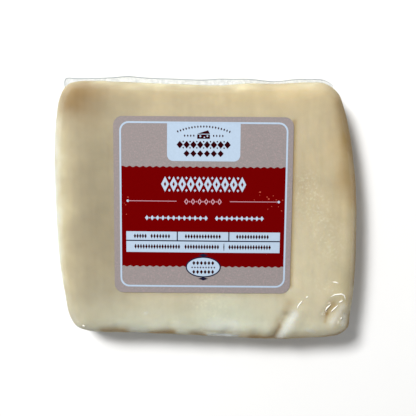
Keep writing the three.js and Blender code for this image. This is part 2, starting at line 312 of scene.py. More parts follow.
cheese = {
    "stations": 600,
    "skin": {
        "offset": -0.07,
        "grooveShare": 0.85,
        "underDents": 0.3,
        "underFractions": [0.97, 0.85, 0.65, 0.42, 0.22, 0.08, 0.0],
        "lowerAngles": [80, 70, 60, 50, 40, 30, 20, 10],
        "upperAngles": [0, 6, 12, 18, 24, 30, 36, 42, 48, 54, 60, 66, 72, 78, 84, 90],
        "faceFractions": [*(np.arange(1, 50) * 0.008), *np.arange(0.42, 0.96, 0.06)],
    },
    "creases": {
        "longFoldCrease": ((25.4, -47.6), (31.4, -36.6), 0.6, -0.12),
        "pitCrease": ((43.9, -38.4), (45.4, -33.2), 0.6, -0.12),
    },
    "creaseFrom": 12,  # height above which a crease is cut
    # Painted shade: dark lines in the folds and dents, beside and under the label and along the shaded walls
    # and rims, with some wet darkening in the folds: start, end, width, strength
    "paintedShadeLines": {
        "pit": ((44.2, -36.2), (46.6, -33.4), 1.3, 0.6),
        "underPit": ((44.5, -37.0), (43.7, -39.6), 0.7, 0.45),
        "longFold": ((25.2, -46.8), (27.2, -41.8), 0.8, 0.5),
        "longFoldSoft": ((24.0, -47.0), (27.0, -39.5), 2.0, 0.35),
        "longFoldTop": ((27.4, -41.4), (29.4, -36.6), 0.8, 0.1),
        "besideCornerRidge": ((47.4, -40.4), (49.9, -35.6), 0.8, 0.3),
        "cornerEdge": ((53.9, -38.5), (52.8, -43.8), 1.2, 1.0),
        "aboveFold": ((29.4, -36.0), (30.4, -32.6), 1.9, 0.3),
        "frontFarLeft": ((-38.0, -43.9), (-30.5, -44.4), 1.8, 0.9),
        "frontLeft": ((-20.2, -45.3), (-12.4, -44.5), 1.6, 0.95),
        "frontMiddle": ((-5.0, -44.9), (-1.0, -46.0), 1.5, 0.65),
        "aboveFlap": ((-0.5, -43.3), (9.5, -44.6), 0.6, 0.4),
        "frontRight": ((16.8, -46.8), (24.8, -47.8), 1.4, 0.95),
        "frontRimLeft": ((-30.0, -45.7), (2.0, -47.0), 0.9, 0.5),
        "frontRimRight": ((13.0, -47.6), (38.0, -47.8), 0.9, 0.8),
        "frontRimCorner": ((41.0, -47.7), (51.5, -44.8), 1.0, 0.85),
        "backRightEdge": ((48.2, 39.5), (52.6, 24.0), 2.2, 0.75),
        "rightShoulder": ((49.6, 26.0), (50.0, 12.0), 2.8, 0.3),
        "rightEdge": ((52.9, 22.0), (55.0, 6.0), 1.3, 0.6),
        "rightRim": ((55.5, 4.0), (54.9, -27.0), 1.0, 0.7),
        "besideLabel": ((30.6, -26.0), (31.1, 33.0), 0.9, 0.6),
        "underLabel": ((-29.0, -28.8), (28.0, -29.3), 1.0, 0.16),
    },
    "paintedShadeColour": "#8A6816",
    "paintedShadeHeights": (8, 15.5),  # where on the wall the painted shade starts and is whole
    "base": "#BCAE92",
    "subsurface": 0.35,
    "scatter": (1.0, 0.62, 0.26),
    "scatterDepth": 2.2,
    # Broad painted light and shade over the cheese colour: darker where light falls off, as on the left of
    # the face and beside the label, a pale painted glow and sheen along the rims and the front, and deep
    # amber painted shade on the right and front walls: middle and reach on the plan, colour, strength
    "paintedLightAndShade": {
        "shadedLeft": ((-38.0, 0.0), (13.0, 50.0), "#776E59", 0.64),
        "coolFront": ((-2.0, -45.0), (52.0, 15.0), "#BEC4B9", 0.75),
        "palestFront": ((9.0, -36.0), (15.0, 8.0), "#D2D8C8", 0.4),
        "deepBackLeft": ((-44.0, 42.0), (10.0, 7.0), "#80602E", 0.88),
        "brightBack": ((12.0, 45.5), (56.0, 6.5), "#A89672", 0.64),
        "paleRight": ((36.0, -18.0), (14.0, 18.0), "#CFC8B0", 0.5),
        "paleLeftRim": ((-57.0, -12.0), (6.0, 52.0), "#DCD4B0", 0.75),
        "brightBackRight": ((28.0, 44.0), (14.0, 7.0), "#DCC69A", 0.34),
        "paleBackRim": ((4.0, 49.5), (58.0, 3.3), "#EEE8C8", 0.85),
        "paleLeftEdge": ((-57.0, -2.0), (3.3, 60.0), "#DCE6EC", 0.9),
        "dimByLabel": ((33.0, 14.0), (5.0, 12.0), "#A2937A", 0.35),
        "amberRight": ((57.0, 26.0), (8.5, 26.0), "#A07A28", 0.8),
        "amberBackRight": ((54.5, 26.0), (7.5, 16.0), "#A07A28", 0.5),
        "paleRightRound": ((52.0, -10.0), (3.2, 22.0), "#E2D8B8", 0.35),
        "paleRightOfLabel": ((40.5, 18.0), (8.0, 9.0), "#D8C49C", 0.13),
        "paleFrontRound": ((0.0, -42.0), (40.0, 2.4), "#E8EADC", 0.4),
        "dimFrontRight": ((51.0, -27.0), (5.0, 9.0), "#A89C74", 0.4),
        "amberRightRim": ((58.5, -6.0), (4.0, 60.0), "#A0741C", 0.9),
        "amberFrontRim": ((10.0, -51.5), (70.0, 4.8), "#A88220", 0.9),
    },
    # Fine pale specks: start and end of the area's middle line, width, strength
    "speckles": {
        "front": ((0.0, -34.0), (8.0, -41.0), 5.0, 1.0),
        "right": ((36.0, 10.0), (45.0, -12.0), 6.0, 0.7),
        "aboveCorner": ((41.0, -27.0), (44.0, -27.0), 4.0, 0.7),
        "frontLeft": ((-20.0, -41.5), (-12.0, -42.5), 3.0, 0.6),
    },
    "specks": {"size": 0.9, "start": 0.52, "whole": 0.72, "strength": 0.6, "colour": "#DAD8C0"},
    "lightAndShadeWarp": {"perMm": 0.09, "reach": 9.0},  # bends the broad painted light and shade out of their oval shapes
    "mottle": {"size": 9.0, "least": 0.92, "most": 1.08},
    "streaks": {"size": 2.2, "stretch": (1.0, 0.12, 0.5), "least": 0.97, "most": 1.03},
    "bump": {"strength": 0.25, "height": 0.05},
}


def cheeseMaterial():
    material, tree = newMaterial("pressedMozzarella")
    inMm = placeInMm(tree)
    perMm, reach = cheese["lightAndShadeWarp"].values()
    warp = addNode(tree, "ShaderNodeTexNoise", {"Vector": inMm, "Scale": perMm, "Detail": 2.0})
    warped = addNode(tree, "ShaderNodeVectorMath",
                     {0: warp.outputs["Color"], 1: (reach, reach, 0.0), 2: inMm}, operation="MULTIPLY_ADD")
    centred = addNode(tree, "ShaderNodeVectorMath", {0: warped, 1: (reach / 2, reach / 2, 0.0)},
                      operation="SUBTRACT")
    colour = linearColour(cheese["base"])
    # Each entry mixes a patch of painted light and shade into the cheese colour
    for (x, y), (reachX, reachY), lightShadeColour, strength in cheese["paintedLightAndShade"].values():
        away = addNode(tree, "ShaderNodeVectorMath", {0: centred, 1: (x, y, 0.0)}, operation="SUBTRACT")
        scaled = addNode(tree, "ShaderNodeVectorMath",
                         {0: away, 1: (1 / reachX, 1 / reachY, 0.0)}, operation="MULTIPLY")
        square = addNode(tree, "ShaderNodeVectorMath", {0: scaled, 1: scaled}, operation="DOT_PRODUCT")
        negative = addNode(tree, "ShaderNodeMath", {0: square.outputs["Value"], 1: -1.0},
                           operation="MULTIPLY")
        bell = addNode(tree, "ShaderNodeMath", {0: negative}, operation="EXPONENT")
        amount = addNode(tree, "ShaderNodeMath", {0: bell, 1: strength}, operation="MULTIPLY")
        colour = addNode(tree, "ShaderNodeMix", {0: amount, 6: colour, 7: linearColour(lightShadeColour)},
                         data_type="RGBA").outputs[2]
    # Cloudy mottle of the curd, and stretch lines along the loaf
    mottle, streaks, specks = cheese["mottle"], cheese["streaks"], cheese["specks"]
    mottleLight = clouds(tree, inMm, 1 / mottle["size"], mottle["least"], mottle["most"], detail=6.0,
                         roughness=0.6)[1]
    stretched = addNode(tree, "ShaderNodeVectorMath", {0: inMm, 1: streaks["stretch"]}, operation="MULTIPLY")
    streakLight = clouds(tree, stretched, 1 / streaks["size"], streaks["least"], streaks["most"],
                         detail=3.0)[1]
    both = addNode(tree, "ShaderNodeMath", {0: mottleLight, 1: streakLight}, operation="MULTIPLY")
    lit = addNode(tree, "ShaderNodeVectorMath", {0: colour, "Scale": both}, operation="SCALE")
    # Pale specks in their areas, then the painted shade lines over all
    grain, fleck = clouds(tree, inMm, 1 / specks["size"], 0.0, specks["strength"],
                          specks["start"], specks["whole"])
    area = addNode(tree, "ShaderNodeAttribute", attribute_name="speckle").outputs["Fac"]
    share = addNode(tree, "ShaderNodeMath", {0: fleck, 1: area}, operation="MULTIPLY")
    speckled = addNode(tree, "ShaderNodeMix", {0: share, 6: lit, 7: linearColour(specks["colour"])},
                       data_type="RGBA").outputs[2]
    # Painted shade: a dark amber mixed in along folds, dents, the label's edges and the shaded walls
    shadeShare = addNode(tree, "ShaderNodeAttribute", attribute_name="paintedShade").outputs["Fac"]
    shadePainted = addNode(tree, "ShaderNodeMix", {0: shadeShare, 6: speckled, 7: linearColour(cheese["paintedShadeColour"])},
                      data_type="RGBA").outputs[2]
    bump = addNode(tree, "ShaderNodeBump", {"Strength": cheese["bump"]["strength"],
                                            "Distance": cheese["bump"]["height"] * mm, "Height": grain})
    shader = addNode(tree, "ShaderNodeBsdfPrincipled", {
        "Base Color": shadePainted, "Roughness": 0.5, "IOR": 1.4, "Specular IOR Level": 0.05,
        "Subsurface Weight": cheese["subsurface"], "Subsurface Radius": cheese["scatter"],
        "Subsurface Scale": cheese["scatterDepth"] * mm, "Normal": bump})
    addNode(tree, "ShaderNodeOutputMaterial", {"Surface": shader})
    return material


def makeCheese():
    stations = edgeStations(cheese["stations"])

    def extra(points):
        x, y, z = points.T
        return reliefAt(x, y, cheese["creases"]) * (z > cheese["creaseFrom"])

    rings, poles = skinRings(stations, cheese["skin"], extra)
    points = np.vstack([*rings, poles])
    piece = makePiece("cheese_block", points, ringFaces(len(rings), cheese["stations"]), cheeseMaterial())
    x, y, z = points.T
    above = smoothStep(*cheese["paintedShadeHeights"], z)
    addPointValues(piece, "paintedShade", reliefAt(x, y, cheese["paintedShadeLines"]) * above)
    addPointValues(piece, "speckle", reliefAt(x, y, cheese["speckles"]) * above)
    return piece


cheeseBlock = makeCheese()
print("stage: cheese made")


# Film: clear polyolefin shrink film, blown and heat-shrunk under vacuum.
# The eye sees the cheese through it, a soft gloss, sharp glints on its creases and pale grazing edges.

film = {
    "stations": 430,
    "thickness": 0.05,
    "skin": {
        "offset": 0.0,
        "grooveShare": 0.5,
        "underDents": 0.25,
        "underFractions": [0.97, 0.8, 0.55, 0.3, 0.12, 0.0],
        "lowerAngles": [78, 66, 54, 42, 28, 14],
        "upperAngles": [0, 7, 14, 21, 28, 35, 42, 49, 56, 63, 70, 77, 84, 90],
        "faceFractions": [*(np.arange(1, 56) * 0.0075), *np.arange(0.44, 0.96, 0.08)],
    },
    # Upright pleats at random places of the wall: widths and heights are shares of the ones before them
    "pleats": {"count": 46, "height": 0.08, "width": 0.8, "widths": (0.5, 1.4), "heights": (0.4, 1.0),
               "reachUp": 6.0, "seed": 3},
    # Faint relief of its own: start, end, width, height
    "creases": {
        "cornerSpot": ((49.3, -38.5), (49.7, -38.1), 0.6, 0.2),
        "leftSpot": ((-40.2, 14.0), (-39.6, 14.5), 0.5, 0.15),
        "longScratch": ((-10.8, 41.3), (3.2, 36.4), 0.35, 0.05),
    },
    "creaseFrom": 12,  # height above which a crease stands
    # Where the film is painted pale: stretched milky at the flap, and painted sheen on the fold ridges, over
    # the flap and along the front edge: start, end, width, strength
    "milkAndSheen": {
        "flap": ((1.0, -45.7), (11.5, -46.2), 0.7, 0.4),
        "flapMiddle": ((4.0, -45.9), (9.0, -46.1), 0.6, 0.4),
        "overFlap": ((2.0, -41.0), (10.0, -41.6), 2.4, 0.16),
        "longFoldRidge": ((27.3, -46.4), (32.4, -36.9), 1.35, 0.26),
        "cornerRidge": ((46.2, -40.0), (50.4, -34.0), 1.1, 0.16),
        "besideEdge": ((50.8, -37.6), (50.2, -40.8), 0.8, 0.22),
        "frontCorner": ((37.4, -43.0), (40.0, -43.8), 0.6, 0.15),
        "betweenDents": ((-27.0, -43.0), (-22.0, -43.2), 1.2, 0.12),
        "fleck": ((-22.3, -36.5), (-21.5, -36.3), 0.5, 0.14),
    },
    "milkAndSheenFrom": 10,  # height above which the film is milky and painted with sheen
    "gloss": 0.16,
    "mirror": 0.02,  # share of light that one face of the film reflects straight on
    "mirrorCap": 0.026,
    "clearColour": "#FDFDFB",
    "haze": 0.012,
    "hazeColour": "#F2F6F6",
    "ripple": {"size": 3.0, "strength": 0.35, "height": 0.12},
}


# Schlick's rule, alike from both sides of a film too thin to bend light
def mirrorShare(tree):
    straightOn = film["mirror"]
    edge = addNode(tree, "ShaderNodeLayerWeight", {"Blend": 0.5})
    steep = addNode(tree, "ShaderNodeMath", {0: edge.outputs["Facing"], 1: 5.0}, operation="POWER")
    share = addNode(tree, "ShaderNodeMath", {0: steep, 1: 1 - straightOn, 2: straightOn},
                    operation="MULTIPLY_ADD")
    capped = addNode(tree, "ShaderNodeMath", {0: share, 1: film["mirrorCap"]}, operation="MINIMUM")
    return capped


# What every film material ends in: clear film with a share of haze, under a thin mirror
def finishFilm(tree, clearColour, hazeColour, haze, gloss):
    clear = addNode(tree, "ShaderNodeBsdfTransparent", {"Color": linearColour(clearColour)})
    hazy = addNode(tree, "ShaderNodeBsdfDiffuse", {"Color": linearColour(hazeColour)})
    see = addNode(tree, "ShaderNodeMixShader", {0: haze, 1: clear, 2: hazy})
    shine = addNode(tree, "ShaderNodeBsdfGlossy", {"Color": (1, 1, 1, 1), **gloss})
    whole = addNode(tree, "ShaderNodeMixShader", {0: mirrorShare(tree), 1: see, 2: shine})
    addNode(tree, "ShaderNodeOutputMaterial", {"Surface": whole})


def filmMaterial():
    material, tree = newMaterial("clearShrinkFilm")
    ripple = film["ripple"]
    noise = addNode(tree, "ShaderNodeTexNoise", {"Vector": placeInMm(tree), "Scale": 1 / ripple["size"],
                                                 "Detail": 2.0})
    bump = addNode(tree, "ShaderNodeBump", {"Strength": ripple["strength"], "Height": noise.outputs["Fac"],
                                            "Distance": ripple["height"] * mm})
    # White haze for the milky flap and for the painted sheen on the ridges and the front edge
    milkAndSheen = addNode(tree, "ShaderNodeAttribute", attribute_name="milkAndSheen").outputs["Fac"]
    amount = addNode(tree, "ShaderNodeMath", {0: milkAndSheen, 1: film["haze"]}, operation="ADD")
    finishFilm(tree, film["clearColour"], film["hazeColour"], amount,
               {"Roughness": film["gloss"], "Normal": bump})
    return material


def makeFilm():
    stations = edgeStations(film["stations"])
    pleats = film["pleats"]
    draw = np.random.default_rng(pleats["seed"])
    across = np.zeros(film["stations"])
    for _ in range(pleats["count"]):
        at = draw.integers(0, film["stations"])
        width = pleats["width"] * draw.uniform(*pleats["widths"])
        height = draw.uniform(*pleats["heights"])
        distance = np.hypot(stations["x"] - stations["x"][at], stations["y"] - stations["y"][at])
        across += height * np.exp(-(distance / width) ** 2)

    def extra(points):
        x, y, z = points.T
        onWall = np.exp(-((z - block["equatorHeight"]) / pleats["reachUp"]) ** 2)
        creases = reliefAt(x, y, film["creases"]) * (z > film["creaseFrom"])
        return creases + pleats["height"] * across * onWall

    rings, poles = skinRings(stations, film["skin"], extra)
    points = np.vstack([*rings, poles])
    faces = ringFaces(len(rings), film["stations"])
    piece = makePiece("shrink_film", points, faces, filmMaterial())
    x, y, z = points.T
    addPointValues(piece, "milkAndSheen", reliefAt(x, y, film["milkAndSheen"]) * (z > film["milkAndSheenFrom"]))
    wall = piece.modifiers.new("filmWall", "SOLIDIFY")
    wall.thickness = film["thickness"] * mm
    wall.offset = -1.0
    return piece, BVHTree.FromPolygons(points.tolist(), faces)  # the lips are laid on this surface


shrinkFilm, filmSurface = makeFilm()
print("stage: film made")


# Seal fin: two layers of the same film welded flat and cut, standing out of the back edge.
# The eye sees a nearly clear strip with a thin grey line where its cut rim gathers.

fin = {
    "width": 1.9,
    "least": 0.05,
    "ends": {"left": -51.5, "right": 47.5, "fade": 2.0, "fromBack": 41.0, "wholeBack": 45.0},
    # Where it stands out further: place, reach, extra width
    "swells": [
        ((-42.0, 47.7), 9.0, -1.0), ((-28.5, 47.2), 4.0, 0.35), ((5.5, 46.1), 5.0, 0.55),
        ((25.0, 46.7), 8.5, -1.0), ((-50.2, 46.3), 2.0, 1.2), ((38.5, 46.2), 5.0, -0.55),
        ((46.0, 43.5), 5.0, -1.1),
    ],
    "thickness": 0.14,
    "root": 0.35,  # how deep the fin starts inside the film
    "rim": 0.4,  # diameter of the gathered cut rim
    "wave": 0.35,
    "waveTurns": ((0.11, 0.0, 1.0), (0.047, 1.0, 0.6)),  # turn a station, phase, share of the wave
    "flatShare": 0.8,  # share of the wave that the flat film follows
    "stations": 900,
    "start": (51.0, 34.5),
    "end": (-53.6, 40.0),
    "clearColour": "#FBFCFC",
    "veil": (0.1, 0.2),  # least and most haze of the flat film
    "crimpsPerMm": 0.7,
    "grazingVeil": 0.5,
    "rimVeil": 0.9,
    # Where the cut rim gathers less: place, reach, share lost
    "rimFades": [((46.0, 44.5), 7.0, 1.0), ((28.0, 46.5), 7.0, 0.6), ((-30.0, 47.0), 12.0, 0.3)],
    "hazeColour": "#A4ACAF",
    "gloss": 0.15,
}


def finAt(x, y):
    ends = fin["ends"]
    onBack = smoothStep(ends["fromBack"], ends["wholeBack"], y)
    leftFade = smoothStep(ends["left"], ends["left"] + ends["fade"], x)
    rightFade = 1 - smoothStep(ends["right"] - ends["fade"], ends["right"], x)
    width = fin["width"] * onBack * leftFade * rightFade
    for (atX, atY), reach, extraWidth in fin["swells"]:
        width = width + extraWidth * np.exp(-(np.hypot(x - atX, y - atY) / reach) ** 2)
    return width


def finMaterial():
    material, tree = newMaterial("weldedFilmEdge")
    place = addNode(tree, "ShaderNodeTexCoord").outputs["Object"]
    veil = clouds(tree, place, fin["crimpsPerMm"] / mm, *fin["veil"], 0.35, 0.65)[1]
    edge = addNode(tree, "ShaderNodeLayerWeight", {"Blend": 0.5})
    steep = addNode(tree, "ShaderNodeMath", {0: edge.outputs["Facing"], 1: 2.0}, operation="POWER")
    gathered = addNode(tree, "ShaderNodeAttribute", attribute_name="gathered").outputs["Fac"]
    atRim = addNode(tree, "ShaderNodeMath", {0: gathered, 1: fin["rimVeil"], 2: veil},
                    operation="MULTIPLY_ADD")
    amount = addNode(tree, "ShaderNodeMath", {0: steep, 1: fin["grazingVeil"], 2: atRim},
                     operation="MULTIPLY_ADD")
    finishFilm(tree, fin["clearColour"], fin["hazeColour"], amount, {"Roughness": fin["gloss"]})
    return material


# Section of the fin as (out, up) points: flat film with a bead of five points along its cut rim
def finSection(width, lift):
    half = fin["thickness"] / 2
    rim = fin["rim"] / 2 * min(1.0, width)
    neck = max(0.02, width - 2 * rim)
    flatLift = lift * fin["flatShare"]
    bead = [(width - rim + rim * math.cos(angle), lift + rim * math.sin(angle))
            for angle in np.radians((-120, -60, 0, 60, 120))]
    lower = [(-fin["root"], -half), (neck, -half + flatLift)]
    return [*lower, *bead, (neck, half + flatLift), (-fin["root"], half)]


# Sweeps closed sections of (out, up) points, one to a station, into a body with capped ends
def sweepSections(name, base, outward, sections, material):
    count = len(sections[0])
    points = []
    for (x, y, z), (nx, ny), section in zip(base, outward, sections):
        points.extend([x + nx * out, y + ny * out, z + up] for out, up in section)
    faces = []
    for i in range(len(base) - 1):
        for k in range(count):
            j = (k + 1) % count
            a = i * count
            faces.append((a + k, a + count + k, a + count + j, a + j))
    faces.append(tuple(range(count)))
    faces.append(tuple(reversed(range((len(base) - 1) * count, len(base) * count))))
    return makePiece(name, points, faces, material, 50)


def makeFin():
    stations = edgeStations(fin["stations"], gain=0.0)
    x, y = stations["x"], stations["y"]
    start, end = (int(np.argmin(np.hypot(x - atX, y - atY))) for atX, atY in (fin["start"], fin["end"]))
    width = np.maximum(fin["least"], finAt(x, y))
    base, outward, sections = [], [], []
    for i in range(start, end + 1):
        wave = sum(share * math.sin(i * turn + phase) for turn, phase, share in fin["waveTurns"])
        sections.append(finSection(width[i], fin["wave"] * wave * min(1.0, width[i])))
        base.append((x[i], y[i], block["equatorHeight"]))
        outward.append((stations["nx"][i], stations["ny"][i]))
    piece = sweepSections("seal_fin", base, outward, sections, finMaterial())
    kept = np.ones(len(base))
    for (atX, atY), reach, lost in fin["rimFades"]:
        distance = np.hypot(x[start:end + 1] - atX, y[start:end + 1] - atY)
        kept -= lost * np.exp(-(distance / reach) ** 2)
    onBead = [0, 0, 1, 1, 1, 1, 1, 0, 0]
    addPointValues(piece, "gathered", np.outer(kept, onBead).ravel())
    return piece


sealFin = makeFin()
print("stage: seal fin made")


# Label: kraft sticker paper, machine-calendered, printed in flat flexographic inks.
# The eye sees a matt greige sheet with fine fibre flecks, and crisp fields of ink that look flat on it.

labelLow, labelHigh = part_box("label")
label = {
    "centre": ((labelLow.x + labelHigh.x) / 2 / mm, (labelLow.y + labelHigh.y) / 2 / mm),
    "turn": -0.5,
    "width": 63.5,
    "height": 63.5,
    "printShift": (0.1, 0.3),  # how far the print lies off the sheet's middle
    "corner": 3.2,
    "bottom": 0.07,  # heights above the plain face
    "top": 0.24,
    "rings": (0.1, 0.3, 0.5, 0.7, 0.85, 0.95, 1.0),  # how far out the sheet's rings lie
    "inkStep": 0.03,  # thickness of one layer of ink
    "inkOverlap": 0.008,  # how deep a layer sits in the one below
    "paper": "#898180",
    "fleck": "#A08C8C",
    "fibresPerMm": 2.6,
    "flecksPerMm": 1.7,
    "bump": {"strength": 0.3, "height": 0.02},
}


# Flat points (u, v, height) about the label's middle, turned, moved and laid on the face
def drape(points, shift):
    angle = math.radians(label["turn"])
    u, v, h = (np.asarray(points, dtype=float) + (*shift, 0.0)).T
    x = label["centre"][0] + u * math.cos(angle) - v * math.sin(angle)
    y = label["centre"][1] + u * math.sin(angle) + v * math.cos(angle)
    return np.column_stack([x, y, faceAt(x, y) + h])


# Lays flat points on the face as one piece; their u and v in millimetres become its UV map
def makeDraped(name, points, faces, material, shift=label["printShift"]):
    points = np.asarray(points, dtype=float)
    piece = makePiece(name, drape(points, shift), faces, material, 40)
    mesh = piece.data
    layer = mesh.uv_layers.new(name="labelPlace")
    corner = np.empty(len(mesh.loops), dtype=np.int64)
    mesh.loops.foreach_get("vertex_index", corner)
    layer.data.foreach_set("uv", (points[corner, :2] / 100 + 0.5).ravel())
    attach(piece, body)
    return piece


# Closed slab between two edges over u: columns at us, from lows to highs, with rows between
def columnSlab(us, lows, highs, rows, bottom, top):
    us, lows, highs = (np.broadcast_to(np.asarray(a, dtype=float), len(us)) for a in (us, lows, highs))
    share = np.linspace(0, 1, rows + 1)
    v = lows[:, None] + (highs - lows)[:, None] * share[None, :]
    u = np.repeat(us[:, None], rows + 1, axis=1)
    low = np.stack([u, v, np.full_like(u, bottom)], -1).reshape(-1, 3)
    high = np.stack([u, v, np.full_like(u, top)], -1).reshape(-1, 3)
    size = len(low)
    wide = rows + 1
    faces = []
    for i in range(len(us) - 1):
        for j in range(rows):
            a, b, c, d = i * wide + j, (i + 1) * wide + j, (i + 1) * wide + j + 1, i * wide + j + 1
            faces.append((size + a, size + b, size + c, size + d))
            faces.append((d, c, b, a))
    rim = [i * wide for i in range(len(us))] + [(len(us) - 1) * wide + j for j in range(1, wide)]
    rim += [i * wide + rows for i in range(len(us) - 2, -1, -1)] + list(range(rows - 1, 0, -1))
    for a, b in zip(rim, rim[1:] + rim[:1]):
        faces.append((a, b, size + b, size + a))
    return np.vstack([low, high]), faces


# Closed slab between an outer and an inner loop of equal length, both anticlockwise
def ringSlab(outer, inner, bottom, top):
    count = len(outer)
    points = [(*p, h) for h in (bottom, top) for loop in (outer, inner) for p in loop]
    faces = []
    for i in range(count):
        j = (i + 1) % count
        outLow, inLow, outHigh, inHigh = 0, count, 2 * count, 3 * count
        faces.append((outHigh + i, outHigh + j, inHigh + j, inHigh + i))
        faces.append((outLow + j, outLow + i, inLow + i, inLow + j))
        faces.append((outLow + i, outLow + j, outHigh + j, outHigh + i))
        faces.append((inLow + j, inLow + i, inHigh + i, inHigh + j))
    return np.array(points), faces


# Several (points, faces) as one
def joined(parts):
    points, faces, start = [], [], 0
    for partPoints, partFaces in parts:
        points.append(np.asarray(partPoints))
        faces.extend(tuple(start + k for k in face) for face in partFaces)
        start += len(partPoints)
    return np.vstack(points), faces


# Rounded rectangle about a middle, anticlockwise, with points along its sides for draping
def roundedLoop(width, height, corner, centre=(0, 0), cornerSteps=8, sideStep=5.0):
    points = []
    halfW, halfH = width / 2 - corner, height / 2 - corner
    middles = [(halfW, halfH), (-halfW, halfH), (-halfW, -halfH), (halfW, -halfH)]
    for quarter, (cx, cy) in enumerate(middles):
        for i in range(cornerSteps + 1):
            angle = (quarter + i / cornerSteps) * math.pi / 2
            points.append((cx + corner * math.cos(angle), cy + corner * math.sin(angle)))
        nextX, nextY = middles[(quarter + 1) % 4]
        angle = (quarter + 1) * math.pi / 2
        end = (nextX + corner * math.cos(angle), nextY + corner * math.sin(angle))
        steps = max(1, round(math.dist(points[-1], end) / sideStep))
        x0, y0 = points[-1]
        points += [(x0 + (end[0] - x0) * i / steps, y0 + (end[1] - y0) * i / steps) for i in range(1, steps)]
    return [(x + centre[0], y + centre[1]) for x, y in points]


def paperMaterial():
    material, tree = newMaterial("kraftStickerPaper")
    inMm = placeInMm(tree)
    fibre, tone = clouds(tree, inMm, label["fibresPerMm"], 0.9, 1.1, detail=3.0, roughness=0.7)
    fleck = clouds(tree, inMm, label["flecksPerMm"], 0.0, 0.5, 0.52, 0.7, detail=1.0)[1]
    colour = addNode(tree, "ShaderNodeMix", {0: fleck, 6: linearColour(label["paper"]),
                                             7: linearColour(label["fleck"])}, data_type="RGBA")
    lit = addNode(tree, "ShaderNodeVectorMath", {0: colour.outputs[2], "Scale": tone}, operation="SCALE")
    bump = addNode(tree, "ShaderNodeBump", {"Strength": label["bump"]["strength"],
                                            "Distance": label["bump"]["height"] * mm, "Height": fibre})
    shader = addNode(tree, "ShaderNodeBsdfPrincipled", {"Base Color": lit, "Roughness": 0.75,
                                                        "Specular IOR Level": 0.2, "Normal": bump})
    addNode(tree, "ShaderNodeOutputMaterial", {"Surface": shader})
    return material


def makeLabel():
    width, height, corner = (label[key] for key in ("width", "height", "corner"))
    loop = np.array(roundedLoop(width, height, corner, cornerSteps=10, sideStep=2.5))
    low, high = label["bottom"], label["top"]
    rings = [np.column_stack([loop * out, np.full(len(loop), low)]) for out in label["rings"]]
    rings += [np.column_stack([loop * out, np.full(len(loop), high)]) for out in reversed(label["rings"])]
    points = np.vstack([*rings, [[0, 0, low], [0, 0, high]]])
    piece = makeDraped("paper_label", points, ringFaces(len(rings), len(loop)), paperMaterial(), (0.0, 0.0))
    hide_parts("label")


makeLabel()
print("stage: label made")


# Inks: flexographic, matt, each with a faint unevenness of cover

inks = {
    "oxbloodInk": "#640001",
    "coolWhiteInk": "#A8B9CB",
    "darkMaroonInk": "#2A0206",
    "navyInk": "#17172E",
    "pinkHairlineInk": "#B88C97",
    "rubbedInk": "#B8503F",
}


def inkMaterial(name):
    material, tree = newMaterial(name)
    cover = clouds(tree, placeInMm(tree), 1.4, 0.97, 1.03, detail=3.0)[1]
    lit = addNode(tree, "ShaderNodeVectorMath", {0: linearColour(inks[name])[:3], "Scale": cover},
                  operation="SCALE")
    shader = addNode(tree, "ShaderNodeBsdfPrincipled", {"Base Color": lit, "Roughness": 0.6,
                                                        "Specular IOR Level": 0.01})
    addNode(tree, "ShaderNodeOutputMaterial", {"Surface": shader})
    return material


inkOf = {name: inkMaterial(name) for name in inks}
inkThickness = label["inkStep"] + label["inkOverlap"]


# Bottom and top of ink layer 1, 2, ... above the plain face: each sits in the one below by a hair
def layerOf(level):
    bottom = label["top"] + (level - 1) * label["inkStep"] - label["inkOverlap"]
    return bottom, bottom + inkThickness


printed = {
    "band": {"left": -29.2, "right": 29.2, "top": 13.75, "bottom": -22.25, "scallop": 0.22, "pitch": 2.38},
    "frame": {"middle": (0.02, -0.12), "width": 59.5, "height": 59.5, "line": 0.62, "corner": 3.3},
    "tab": {"left": -12.9, "right": 12.95, "top": 29.3, "bottom": 15.8, "corner": 2.2},
    "boxes": {"left": -27.5, "right": 27.6, "top": -9.55, "middle": -12.85, "bottom": -17.05, "gap": 0.42,
              "dividers": (-9.2, 9.3), "plateInset": 0.1, "plateDrop": 0.012},
    "hairline": {"level": 1.5, "inner": 9.5, "outer": 26.9, "line": 0.22, "dot": 0.9},
    "wedge": {"side": [(-2.3, 23.7), (2.2, 23.7), (2.2, 25.2), (-2.3, 25.2)],
              "top": [(-2.3, 25.45), (2.2, 25.45), (1.5, 26.7)],
              "eyes": ((-1.2, 24.6, 0.7), (0.2, 24.2, 0.5), (1.3, 24.65, 0.6))},
    "seal": {"centre": (0.2, -22.4), "width": 12.7, "height": 7.7, "line": 0.45, "drop": (3.6, 1.2, 0.5)},
}


def makeBand():
    band = printed["band"]
    us = np.arange(band["left"], band["right"] + 0.01, band["pitch"] / 8)
    wave = band["scallop"] * np.cos(us * 2 * math.pi / band["pitch"])
    slab = columnSlab(us, band["bottom"] + wave, band["top"] + wave, 9, *layerOf(1))
    makeDraped("red_band", *slab, inkOf["oxbloodInk"])


def makeFrame():
    border = printed["frame"]
    width, height, line, corner = (border[key] for key in ("width", "height", "line", "corner"))
    outer = roundedLoop(width, height, corner, border["middle"], sideStep=3.0)
    inner = roundedLoop(width - 2 * line, height - 2 * line, corner - line, border["middle"], sideStep=3.0)
    makeDraped("white_frame", *ringSlab(outer, inner, *layerOf(2)), inkOf["coolWhiteInk"])


def makeTab():
    left, right, top, bottom, corner = printed["tab"].values()
    arc = corner * (1 - np.cos(np.linspace(0, math.pi / 2, 9)))
    us = np.concatenate([left + arc, np.linspace(left + corner, right - corner, 9)[1:-1], right - arc[::-1]])
    inside = np.minimum(np.minimum(us - left, right - us), corner)
    lows = bottom + corner - np.sqrt(np.maximum(0, corner ** 2 - (corner - inside) ** 2))
    makeDraped("white_tab", *columnSlab(us, lows, top, 4, *layerOf(1)), inkOf["coolWhiteInk"])


